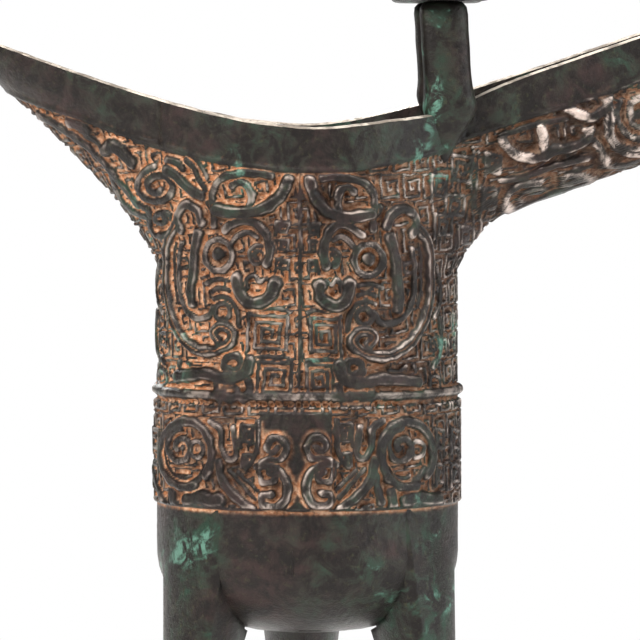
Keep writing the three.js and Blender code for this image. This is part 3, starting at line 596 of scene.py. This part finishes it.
def relief(u, z):
    """How far each point of the wall stands out, in mm."""
    wobble_u = u + WOBBLE * wander(u, z, 3.1, 1)
    wobble_z = z + WOBBLE * wander(u, z, 3.3, 2)
    raised = raised_lines(wobble_u, wobble_z)
    bare = 1 - smooth(raised, 0.02, 0.3)
    edge = np.interp(u, ornament_edge[:, 0], ornament_edge[:, 1])
    field = (1 - smooth(z, edge - 0.5, edge + 0.1)) * smooth(z, BAND_LOW_Z + 0.2, BAND_LOW_Z + 0.8)
    across = 1 - smooth(np.abs(u - panel_u), panel_half - 0.5, panel_half)
    ground = 1 - across * (1 - smooth(z, PANEL_TOP_Z, PANEL_TOP_Z + 0.6))
    cord = np.exp(-((z - CORD_Z) / CORD_HALF) ** 4)
    band = smooth(z, BAND_LOW_Z - 0.2, BAND_LOW_Z + 0.3)
    band *= 1 - smooth(z, BAND_HIGH_Z - 0.2, BAND_HIGH_Z + 0.3)
    thread = thunder_ground(wobble_u, wobble_z)
    lines = field * (1 - cord) * (raised + thread * bare * ground - GROUND_SINK * ground)
    for line, half, depth in grooves:
        near, d = line_field(wobble_u, wobble_z, line, half * 1.6)
        lines[near] -= depth * (1 - smooth(d, half * 0.3, half * 1.2))
    bead = EDGE_BEAD_HEIGHT * np.exp(-((z - edge - EDGE_BEAD_HALF) / EDGE_BEAD_HALF) ** 2)
    worn = 0.05 * wander(u, z, 9, 3) + 0.03 * wander(u, z, 2.2, 4)
    return lines + CORD_HEIGHT * cord + BAND_STEP * band + bead * (z > CORD_Z) + worn


def blur(h, steps):
    for _ in range(steps):
        padded = np.pad(h, 1, mode="edge")
        h = (padded[:-2, 1:-1] + padded[2:, 1:-1] + padded[1:-1, :-2] + padded[1:-1, 2:] + 2 * h) / 6
    return h


def outward(points, near):
    n = np.cross(np.gradient(points, axis=1), np.gradient(points, axis=0))
    n /= np.maximum(np.linalg.norm(n, axis=-1, keepdims=True), 1e-12)
    return n if near else -n


def mesh_piece(name, points, faces, attributes=None):
    mesh = bpy.data.meshes.new(name)
    mesh.from_pydata([tuple(p) for p in points], [], [tuple(int(i) for i in f) for f in faces])
    for key, values in (attributes or {}).items():
        layer = mesh.attributes.new(key, "FLOAT", "POINT")
        layer.data.foreach_set("value", np.ascontiguousarray(values, np.float32))
    mesh.validate()
    mesh.polygons.foreach_set("use_smooth", [True] * len(mesh.polygons))
    piece = bpy.data.objects.new(name, mesh)
    bpy.context.scene.collection.objects.link(piece)
    return piece


BLUR_STEPS, HOLLOW_CONTRAST, CREST_CONTRAST = 14, 1.7, 1.8
PART_SEAM_Z = CORD_Z + 1.6
bowl_pieces = []
for side, grid in (("near", near_grid), ("far", far_grid)):
    near = side == "near"
    x, y, z, u = grid
    h = relief(u, z)
    points = grid_points(x, y, z)
    points = points + outward(points, near) * (h * MM)[..., None]
    for end in (0, -1):
        shut = np.abs(y[:, end]) < 1e-3
        points[shut, end, 1] = BOWL_AXIS.y
    level = blur(h, BLUR_STEPS)
    # hollow marks the recesses, which get painted shade and earth; crest marks the ridges, which get rubbed
    # metal and a painted highlight.
    hollow = np.clip((level - h) * HOLLOW_CONTRAST, 0, 1)
    crest = np.clip((h - level) * CREST_CONTRAST, 0, 1)
    rows, columns = h.shape
    cut = int(np.argmin(np.abs(z[:, columns // 2] - PART_SEAM_Z)))
    for part, first, last in (("lower", 0, cut + 1), ("upper", cut, rows)):
        block = slice(first, last)
        faces = grid_faces(last - first, columns, not near)
        marks = {"hollow": hollow[block].ravel(), "crest": crest[block].ravel()}
        bowl_pieces.append(mesh_piece(f"bowl_{part}_{side}", points[block].reshape(-1, 3), faces, marks))

# Inside of the bowl, and the lip that joins it to the outside: the wall is about two millimetres thick,
# and handling has rubbed the lip down to pale bare metal.
INSIDE_WALL_ROWS, INSIDE_RIM_ROWS = 60, 34
LIP_STEPS, LIP_CROWN = 6, 0.45
MOUTH_ROWS = 26
inside_pieces = []
lip_rings = []
for side, outer in (("near", near_grid), ("far", far_grid)):
    near = side == "near"
    x, y, z, u = half_grid(WALL, near, INSIDE_WALL_ROWS, INSIDE_RIM_ROWS)
    uneven = 0.06 * wander(u, z, 7, 8)
    points = grid_points(x, y, z) - outward(grid_points(x, y, z), near) * (uneven * MM)[..., None]
    for end in (0, -1):
        shut = np.abs(y[:, end]) < 1e-3
        points[shut, end, 1] = BOWL_AXIS.y
    inside_pieces.append(mesh_piece(f"bowl_inside_{side}", points.reshape(-1, 3), grid_faces(*x.shape, near)))
    outer_top = np.stack([v[-1] for v in outer[:3]], -1)
    inner_top = np.stack([x[-1], y[-1], z[-1]], -1)
    t = np.linspace(0, 1, LIP_STEPS + 1)[:, None, None]
    crown = LIP_CROWN * np.sin(np.pi * t) + 0.08 * wander(outer[3][-1], outer[2][-1], 5, 9)[None, :, None]
    strip = outer_top * (1 - t) + inner_top * t + crown * np.array([0, 0, 1])
    strip_points = grid_points(strip[..., 0], strip[..., 1], strip[..., 2])
    lip_rings.append(mesh_piece(f"lip_{side}", strip_points.reshape(-1, 3),
                                grid_faces(*strip.shape[:2], not near)))

mouth_levels = np.linspace(float(spout_keel_z(SPOUT_REACH - MOUTH_LEAN)) + 0.3,
                           float(lip_z(SPOUT_REACH, False)) + 0.2, MOUTH_ROWS)
mouth_rows = []
for level in mouth_levels:
    at = mouth_x(level)
    wide, thin = (float(slice_y(np.array([at]), level, inset)[0]) for inset in (0, WALL))
    mouth_rows.append([(at, v, level) for v in (-wide, -thin, thin, wide)])
mouth_points = grid_points(*np.array(mouth_rows).transpose(2, 0, 1)).reshape(-1, 3)
mouth = mesh_piece("spout_mouth", mouth_points, grid_faces(MOUTH_ROWS, 4, False))


# Patina: brown-black bronze with green and turquoise corrosion, orange earth left in the hollows of the
# ornament, most of it towards the tail, painted shade that darkens the hollows, and greyish metal where its
# ridges have been rubbed, partly a painted highlight on the crests.
BROWN_BLACK, PURPLE_BROWN = (0.006, 0.005, 0.0045), (0.022, 0.013, 0.012)
GREEN, TURQUOISE, OLIVE = (0.011, 0.030, 0.019), (0.070, 0.150, 0.115), (0.036, 0.037, 0.017)
# SHADOW is painted shade laid into the hollows of the ornament.
EARTH, PALE_EARTH, SHADOW = (0.300, 0.120, 0.050), (0.500, 0.310, 0.200), (0.008, 0.006, 0.005)
# Pale metal on the crests: rubbed bronze, partly a painted highlight, less of it towards the tail.
RUBBED_METAL_AND_HIGHLIGHT = (0.52, 0.43, 0.38)
EARTHY_X, CLEAN_X = -0.030, 0.022
EARTH_AT_SPOUT, RUB_AND_HIGHLIGHT_AT_TAIL = 0.35, 0.55


def nodes_of(name):
    material = bpy.data.materials.new(name)
    material.use_nodes = True
    tree = material.node_tree
    return material, tree, tree.nodes["Principled BSDF"]


def add(tree, kind, settings=None, **inputs):
    """A shader node with its settings. An input is given by its name, or as i0, i1 by its place."""
    node = tree.nodes.new(kind)
    for key, value in (settings or {}).items():
        setattr(node, key, value)
    for key, value in inputs.items():
        socket = node.inputs[int(key[1:])] if key[0] == "i" and key[1:].isdigit() else node.inputs[key]
        if isinstance(value, bpy.types.NodeSocket):
            tree.links.new(value, socket)
        else:
            socket.default_value = value
    return node


def noise(tree, place, scale, detail, rough, warp=0.0):
    node = add(tree, "ShaderNodeTexNoise", Vector=place, Scale=scale, Detail=detail, Roughness=rough,
               Distortion=warp)
    return node.outputs[0]


def span(tree, value, low, high, out_low=0.0, out_high=1.0):
    node = add(tree, "ShaderNodeMapRange", {"interpolation_type": "SMOOTHSTEP"}, i0=value, i1=low, i2=high,
               i3=out_low, i4=out_high)
    return node.outputs[0]


def times(tree, a, b):
    return add(tree, "ShaderNodeMath", {"operation": "MULTIPLY", "use_clamp": True}, i0=a, i1=b).outputs[0]


def times_plus(tree, a, b, c, clamp=False):
    settings = {"operation": "MULTIPLY_ADD", "use_clamp": clamp}
    return add(tree, "ShaderNodeMath", settings, i0=a, i1=b, i2=c).outputs[0]


def mixed(tree, share, a, b):
    node = add(tree, "ShaderNodeMix", {"data_type": "RGBA"}, i0=share)
    for index, value in ((6, a), (7, b)):
        if isinstance(value, bpy.types.NodeSocket):
            tree.links.new(value, node.inputs[index])
        else:
            node.inputs[index].default_value = (*value, 1)
    return node.outputs[2]


# rubbed sets how much rubbed metal and painted highlight the crests get.
def patina(name, green=1.0, earth=1.0, rubbed=1.0, turquoise=1.0):
    material, tree, shader = nodes_of(name)
    place = add(tree, "ShaderNodeTexCoord").outputs["Object"]
    x = add(tree, "ShaderNodeSeparateXYZ", Vector=place).outputs["X"]
    hollow = add(tree, "ShaderNodeAttribute", {"attribute_name": "hollow"}).outputs["Fac"]
    crest = add(tree, "ShaderNodeAttribute", {"attribute_name": "crest"}).outputs["Fac"]
    broad = noise(tree, place, 45, 6, 0.65, 0.5)
    middle = noise(tree, place, 230, 8, 0.7, 0.6)
    fine = noise(tree, place, 900, 6, 0.75)
    speck = noise(tree, place, 1800, 3, 0.6)
    # Bronze and its corrosion
    colour = mixed(tree, span(tree, middle, 0.38, 0.66), BROWN_BLACK, PURPLE_BROWN)
    greening = times(tree, span(tree, broad, 0.42, 0.62), span(tree, middle, 0.42, 0.62))
    colour = mixed(tree, times(tree, greening, green * 0.8), colour, GREEN)
    colour = mixed(tree, times(tree, span(tree, fine, 0.54, 0.70), green * 0.45), colour, OLIVE)
    patches = times(tree, span(tree, broad, 0.585, 0.66), span(tree, middle, 0.47, 0.60))
    colour = mixed(tree, times(tree, patches, turquoise * 0.9), colour, TURQUOISE)
    # Painted shade darkening the hollows, then earth in them
    colour = mixed(tree, times(tree, span(tree, hollow, 0.05, 0.55), 0.8), colour, SHADOW)
    soil = times(tree, span(tree, hollow, 0.04, 0.45), span(tree, broad, 0.36, 0.56, 0.15, 1.0))
    soil = times(tree, soil, span(tree, middle, 0.36, 0.54, 0.30, 1.0))
    soil = times(tree, soil, span(tree, x, EARTHY_X, CLEAN_X, 1.0, EARTH_AT_SPOUT))
    soil_colour = mixed(tree, span(tree, fine, 0.42, 0.62), EARTH, PALE_EARTH)
    colour = mixed(tree, times(tree, soil, earth), colour, soil_colour)
    # Rubbed ridges: pale metal on the crests, partly real wear and partly a painted highlight
    shine = times(tree, span(tree, crest, 0.25, 0.85), span(tree, middle, 0.42, 0.58, 0.05, 1.0))
    shine = times(tree, shine, span(tree, x, EARTHY_X, CLEAN_X, RUB_AND_HIGHLIGHT_AT_TAIL * rubbed, rubbed))
    colour = mixed(tree, times(tree, shine, 0.8), colour, RUBBED_METAL_AND_HIGHLIGHT)
    tree.links.new(colour, shader.inputs["Base Color"])
    tree.links.new(times_plus(tree, shine, 0.6, 0.15, True), shader.inputs["Metallic"])
    shader.inputs["Specular IOR Level"].default_value = 0.16
    rough = times_plus(tree, fine, 0.22, times_plus(tree, soil, 0.4, 0.27))
    tree.links.new(rough, shader.inputs["Roughness"])
    pits = add(tree, "ShaderNodeBump", Strength=0.45, Distance=0.0004, Height=fine).outputs[0]
    grain = add(tree, "ShaderNodeBump", Strength=0.30, Distance=0.00018, Height=speck, Normal=pits)
    tree.links.new(grain.outputs[0], shader.inputs["Normal"])
    return material


def dress(piece, material, slot, *nodes):
    piece.data.materials.clear()
    piece.data.materials.append(material)
    if "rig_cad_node" not in piece:
        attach(piece, "root")
        if nodes:
            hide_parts(*nodes)


bowl_skin = patina("carved bronze")
for piece in bowl_pieces:
    dress(piece, bowl_skin, "bowl_bronze", "cup_body")
inside_skin = patina("inside bronze", green=1.2, earth=0.0, rubbed=0.0, turquoise=0.8)
for piece in inside_pieces:
    dress(piece, inside_skin, "bowl_bronze", "cup_body")

LIP_PALE, LIP_SHADE = (0.56, 0.50, 0.43), (0.20, 0.17, 0.14)
lip_metal, tree, shader = nodes_of("rubbed lip")
place = add(tree, "ShaderNodeTexCoord").outputs["Object"]
coarse = noise(tree, place, 240, 6, 0.65)
fine = noise(tree, place, 1100, 4, 0.6)
colour = mixed(tree, span(tree, coarse, 0.40, 0.60), LIP_SHADE, LIP_PALE)
colour = mixed(tree, span(tree, fine, 0.60, 0.72), colour, GREEN)
tree.links.new(colour, shader.inputs["Base Color"])
shader.inputs["Metallic"].default_value = 0.55
tree.links.new(span(tree, fine, 0.3, 0.7, 0.32, 0.6), shader.inputs["Roughness"])
scratches = add(tree, "ShaderNodeBump", Strength=0.4, Distance=0.0003, Height=fine)
tree.links.new(scratches.outputs[0], shader.inputs["Normal"])
for piece in lip_rings + [mouth]:
    dress(piece, lip_metal, "bowl_bronze", "cup_body")


# Legs: three tapering blades, each with a crest down its broad outer face and a keel inside. Their roots
# swell out of the wall under the lower band, and they stand on small blunt feet.
LEG_ANGLES = {"tail_side": 210, "spout_side": 330, "handle_side": 90}
LEG_SIDES, LEG_EDGE = 12, 0.5
LEG_SECTIONS = [   # distance from the axis, height, half depth, half width
    (25.2, 96, 9.0, 11.6), (25.6, 92, 11.0, 11.4), (25.9, 86, 12.0, 10.8), (26.4, 79, 12.0, 9.8),
    (27.2, 71, 11.0, 8.5), (28.2, 62, 9.0, 7.3), (29.0, 51, 7.2, 6.1), (30.2, 38, 5.9, 5.0),
    (32.4, 23, 4.8, 3.9), (35.4, 10.5, 3.7, 3.0), (38.4, 1.2, 3.0, 2.5), (38.7, 0.05, 2.7, 2.3)]
OUTER_BULGE, KEEL_DEPTH, KEEL_SHARPNESS = 0.30, 1.3, 0.25


def deselect():
    bpy.ops.object.select_all(action="DESELECT")


def drawn(name, sides, stations, shape=None):
    """A form drawn out of a round section: each station is its middle x, y, z and its half widths."""
    deselect()
    cx, cy, z, rx, ry = (v * MM for v in stations[0])
    bpy.ops.mesh.primitive_circle_add(vertices=sides, radius=1, fill_type="NGON", location=(0, 0, 0))
    piece = bpy.context.object
    piece.name = name
    for v in piece.data.vertices:
        sx, sy = shape(v.co.x, v.co.y) if shape else (v.co.x, v.co.y)
        v.co = (cx + rx * sx, cy + ry * sy, z)
    bpy.ops.object.mode_set(mode="EDIT")
    bpy.ops.mesh.select_all(action="SELECT")
    for station in stations[1:]:
        nx, ny, nz, nrx, nry = (v * MM for v in station)
        bpy.ops.mesh.extrude_region_move(TRANSFORM_OT_translate={"value": (nx - cx, ny - cy, nz - z)})
        bpy.ops.transform.resize(value=(nrx / rx, nry / ry, 1), center_override=(nx, ny, nz))
        cx, cy, z, rx, ry = nx, ny, nz, nrx, nry
    bpy.ops.mesh.select_all(action="SELECT")
    bpy.ops.mesh.normals_make_consistent(inside=False)
    bpy.ops.object.mode_set(mode="OBJECT")
    return piece


def finish_piece(piece, bevel=0.0, rounding=1, angle=40):
    bpy.context.view_layer.objects.active = piece
    piece.select_set(True)
    if bevel:
        modifier = piece.modifiers.new("edges", "BEVEL")
        modifier.width = bevel * MM
        modifier.segments = 3
        modifier.limit_method = "ANGLE"
        bpy.ops.object.modifier_apply(modifier="edges")
    if rounding:
        modifier = piece.modifiers.new("round", "SUBSURF")
        modifier.levels = modifier.render_levels = rounding
        bpy.ops.object.modifier_apply(modifier="round")
    bpy.ops.object.shade_smooth_by_angle(angle=math.radians(angle))


def blade(x, y):
    """Section of a leg: a low crest outside, sharp side edges and a keel inside."""
    return (OUTER_BULGE * x, y) if x > 0 else (KEEL_DEPTH * x * (1 - KEEL_SHARPNESS * abs(y)), y)


def hug_belly(leg):
    """Keep the root of a leg within the thickness of the bowl's wall, so that none of it shows inside."""
    for v in leg.data.vertices:
        share = float(belly_share(v.co.z / MM, BELLY_Z))
        least = ((HALF_WIDTH + HALF_DEPTH) / 2 * share - WALL / 2) * MM
        radius = math.hypot(v.co.x, v.co.y)
        if share > 0 and radius < least:
            v.co.x *= least / radius
            v.co.y *= least / radius


leg_skin = patina("leg bronze", green=1.25, turquoise=1.3)
for place_name, degrees in LEG_ANGLES.items():
    stations = [(out, 0, z, deep, wide) for out, z, deep, wide in LEG_SECTIONS]
    leg = drawn(f"leg_blade_{place_name}", LEG_SIDES, stations, blade)
    finish_piece(leg, LEG_EDGE, 2)
    hug_belly(leg)
    leg.rotation_euler.z = math.radians(degrees)
    leg.location = BOWL_AXIS
    bpy.ops.object.transform_apply(location=True, rotation=True, scale=True)
    dress(leg, leg_skin, "bronze", f"leg_{place_name}")

# Posts: two square-shouldered uprights astride the lip at the root of the spout, leaning a little towards
# the tail, each with a mushroom cap that rises to a blunt point.
POST_X, POST_Y, POST_LEAN = 26.6, 18.6, math.tan(math.radians(3.2))
FAR_POST_SHIFT = 1.2
POST_SIDES, POST_SQUARENESS = 20, 3.4
POST_ROOT = [   # along the spout, inwards, up from the lip, half width, half depth
    (-1.6, 2.2, -11, 1.0, 1.4), (-1.2, 1.7, -8, 1.9, 2.1), (-0.7, 1.2, -5, 3.0, 2.8),
    (-0.1, 0.6, -2, 4.4, 3.4), (0.2, 0, 0.6, 5.6, 3.7), (0.1, 0, 2.4, 5.0, 3.7), (-0.2, 0, 5, 4.7, 3.6)]
SHAFT_RISE, SHAFT_TOP_Z, SHAFT_SECTIONS = 9, 192.4, 5
SHAFT_HALF_WIDTH, SHAFT_HALF_DEPTH, SHAFT_UNEVEN = 4.7, 3.65, 0.15
CAP_SEAT_Z, CAP_SIDES = 191.4, 40
CAP_PROFILE = [   # height, radius
    (192.0, 4.4), (191.8, 6.8), (191.9, 8.6), (192.5, 9.3), (193.8, 9.55), (195.2, 9.0), (196.7, 7.8),
    (198.6, 5.9), (200.6, 4.1), (202.5, 2.7), (204.2, 2.1), (205.3, 1.6), (205.8, 0.6)]


def squared(x, y):
    return tuple(math.copysign(abs(v) ** (2 / POST_SQUARENESS), v) for v in (x, y))


post_skin = patina("post bronze", green=1.0, earth=0.3, turquoise=2.2)
for side_name, side in (("near", -1), ("far", 1)):
    post_x = POST_X + (FAR_POST_SHIFT if side > 0 else 0)
    lip = float(lip_z(post_x, side < 0))
    y = side * POST_Y
    stations = [(post_x + along, y - side * inward, lip + up, wide, deep)
                for along, inward, up, wide, deep in POST_ROOT]
    for z in np.linspace(lip + SHAFT_RISE, SHAFT_TOP_Z, SHAFT_SECTIONS):
        half_width = SHAFT_HALF_WIDTH + SHAFT_UNEVEN * math.sin(z)
        stations.append((post_x - POST_LEAN * (z - lip), y, z, half_width, SHAFT_HALF_DEPTH))
    post = drawn(f"post_shaft_{side_name}", POST_SIDES, stations, squared)
    post.location = BOWL_AXIS
    finish_piece(post, 0, 1, 50)
    bpy.ops.object.transform_apply(location=True, rotation=True, scale=True)
    dress(post, post_skin, "worn_bronze", f"post_{side_name}")
    top_x = post_x - POST_LEAN * (CAP_SEAT_Z - lip)
    cap = drawn(f"mushroom_cap_{side_name}", CAP_SIDES, [(top_x, y, h, r, r) for h, r in CAP_PROFILE])
    cap.location = BOWL_AXIS
    finish_piece(cap, 0, 1, 60)
    bpy.ops.object.transform_apply(location=True, rotation=True, scale=True)
    dress(cap, leg_skin, "bronze", f"post_cap_{side_name}")

# Handle: a strap bent square on the far side of the bowl, cast with its edges worn round, and the ox head
# over its upper end. The chaplets are small bronze spacers that lie flush in the wall and floor.
HANDLE_EDGE = 0.7
MERGE_DISTANCE, FLAT_ANGLE = 0.00001, math.radians(3)
HEAD_AND_CHAPLETS = ["handle_ox_head"]
HEAD_AND_CHAPLETS += [f"{kind}_chaplet_{i}" for kind in ("wall", "floor") for i in (1, 2, 3)]


def cad_copy(node, name):
    """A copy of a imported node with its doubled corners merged."""
    piece = bpy.data.objects.new(name, frame["nodes"][node].data.copy())
    bpy.context.scene.collection.objects.link(piece)
    deselect()
    piece.select_set(True)
    bpy.context.view_layer.objects.active = piece
    bpy.ops.object.mode_set(mode="EDIT")
    bpy.ops.mesh.select_all(action="SELECT")
    bpy.ops.mesh.remove_doubles(threshold=MERGE_DISTANCE)
    bpy.ops.mesh.dissolve_limited(angle_limit=FLAT_ANGLE)
    bpy.ops.object.mode_set(mode="OBJECT")
    return piece


handle = cad_copy("handle_strap", "strap_handle")
finish_piece(handle, HANDLE_EDGE, 0, 35)
dress(handle, leg_skin, "bronze", "handle_strap")
for name in HEAD_AND_CHAPLETS:
    dress(frame["nodes"][name], leg_skin, "bronze")

# Studio: a pale floor that fades to white away from the cup, a white surround, and four soft lamps. The
# floor takes the cup's shadow.
FLOOR_SIZE = 6.0
FADE_FROM, FADE_TO = 0.16, 0.5
WHITE = (1, 1, 1, 1)
deselect()
bpy.ops.mesh.primitive_plane_add(size=FLOOR_SIZE, location=(0, 0, 0))
floor = bpy.context.object
floor.name = "studio_floor"
floor_paint, tree, shader = nodes_of("pale floor")
place = add(tree, "ShaderNodeTexCoord").outputs["Object"]
paint = mixed(tree, noise(tree, place, 40, 3, 0.5), (0.86, 0.86, 0.855), (0.89, 0.89, 0.885))
tree.links.new(paint, shader.inputs["Base Color"])
shader.inputs["Roughness"].default_value = 0.9
shader.inputs["Specular IOR Level"].default_value = 0.1
path = add(tree, "ShaderNodeLightPath")
away = add(tree, "ShaderNodeVectorMath", {"operation": "LENGTH"}, i0=place).outputs["Value"]
fading = times(tree, span(tree, away, FADE_FROM, FADE_TO), path.outputs["Is Camera Ray"])
white = add(tree, "ShaderNodeEmission", Color=WHITE, Strength=1.0)
blend = add(tree, "ShaderNodeMixShader", i0=fading, i1=shader.outputs[0], i2=white.outputs[0])
tree.links.new(blend.outputs[0], tree.nodes["Material Output"].inputs["Surface"])
floor.data.materials.append(floor_paint)

world = bpy.data.worlds.new("studio")
bpy.context.scene.world = world
world.use_nodes = True
tree = world.node_tree
path = add(tree, "ShaderNodeLightPath")
light = tree.nodes["Background"]
light.inputs["Color"].default_value = (0.80, 0.83, 0.88, 1)
light.inputs["Strength"].default_value = 0.16
white = add(tree, "ShaderNodeBackground", Color=WHITE, Strength=1.0)
seen = add(tree, "ShaderNodeMath", {"operation": "MAXIMUM"}, i0=path.outputs["Is Camera Ray"],
           i1=path.outputs["Is Transmission Ray"])
blend = add(tree, "ShaderNodeMixShader", i0=seen.outputs[0], i1=light.outputs[0], i2=white.outputs[0])
tree.links.new(blend.outputs[0], tree.nodes["World Output"].inputs["Surface"])

LAMPS = {   # place, size, power, colour
    "key": ((-0.62, -0.66, 0.72), 0.24, 20.0, (1.0, 0.96, 0.92)),
    "top": ((0.10, -0.25, 0.95), 0.30, 11.0, (1.0, 0.97, 0.94)),
    "side": ((0.85, -0.40, 0.35), 0.24, 9.0, (0.96, 0.98, 1.0)),
    "back": ((-0.30, 0.90, 0.60), 0.40, 9.0, (1.0, 0.98, 0.96)),
}
LAMP_TARGET = Vector((0, 0, 0.13))
for name, (spot, size, power, tint) in LAMPS.items():
    lamp = bpy.data.objects.new(name, bpy.data.lights.new(name, "AREA"))
    bpy.context.scene.collection.objects.link(lamp)
    lamp.location = spot
    lamp.rotation_euler = (LAMP_TARGET - lamp.location).to_track_quat("-Z", "Y").to_euler()
    lamp.data.size = size
    lamp.data.energy = power
    lamp.data.color = tint

bpy.context.scene.view_settings.view_transform = "Standard"
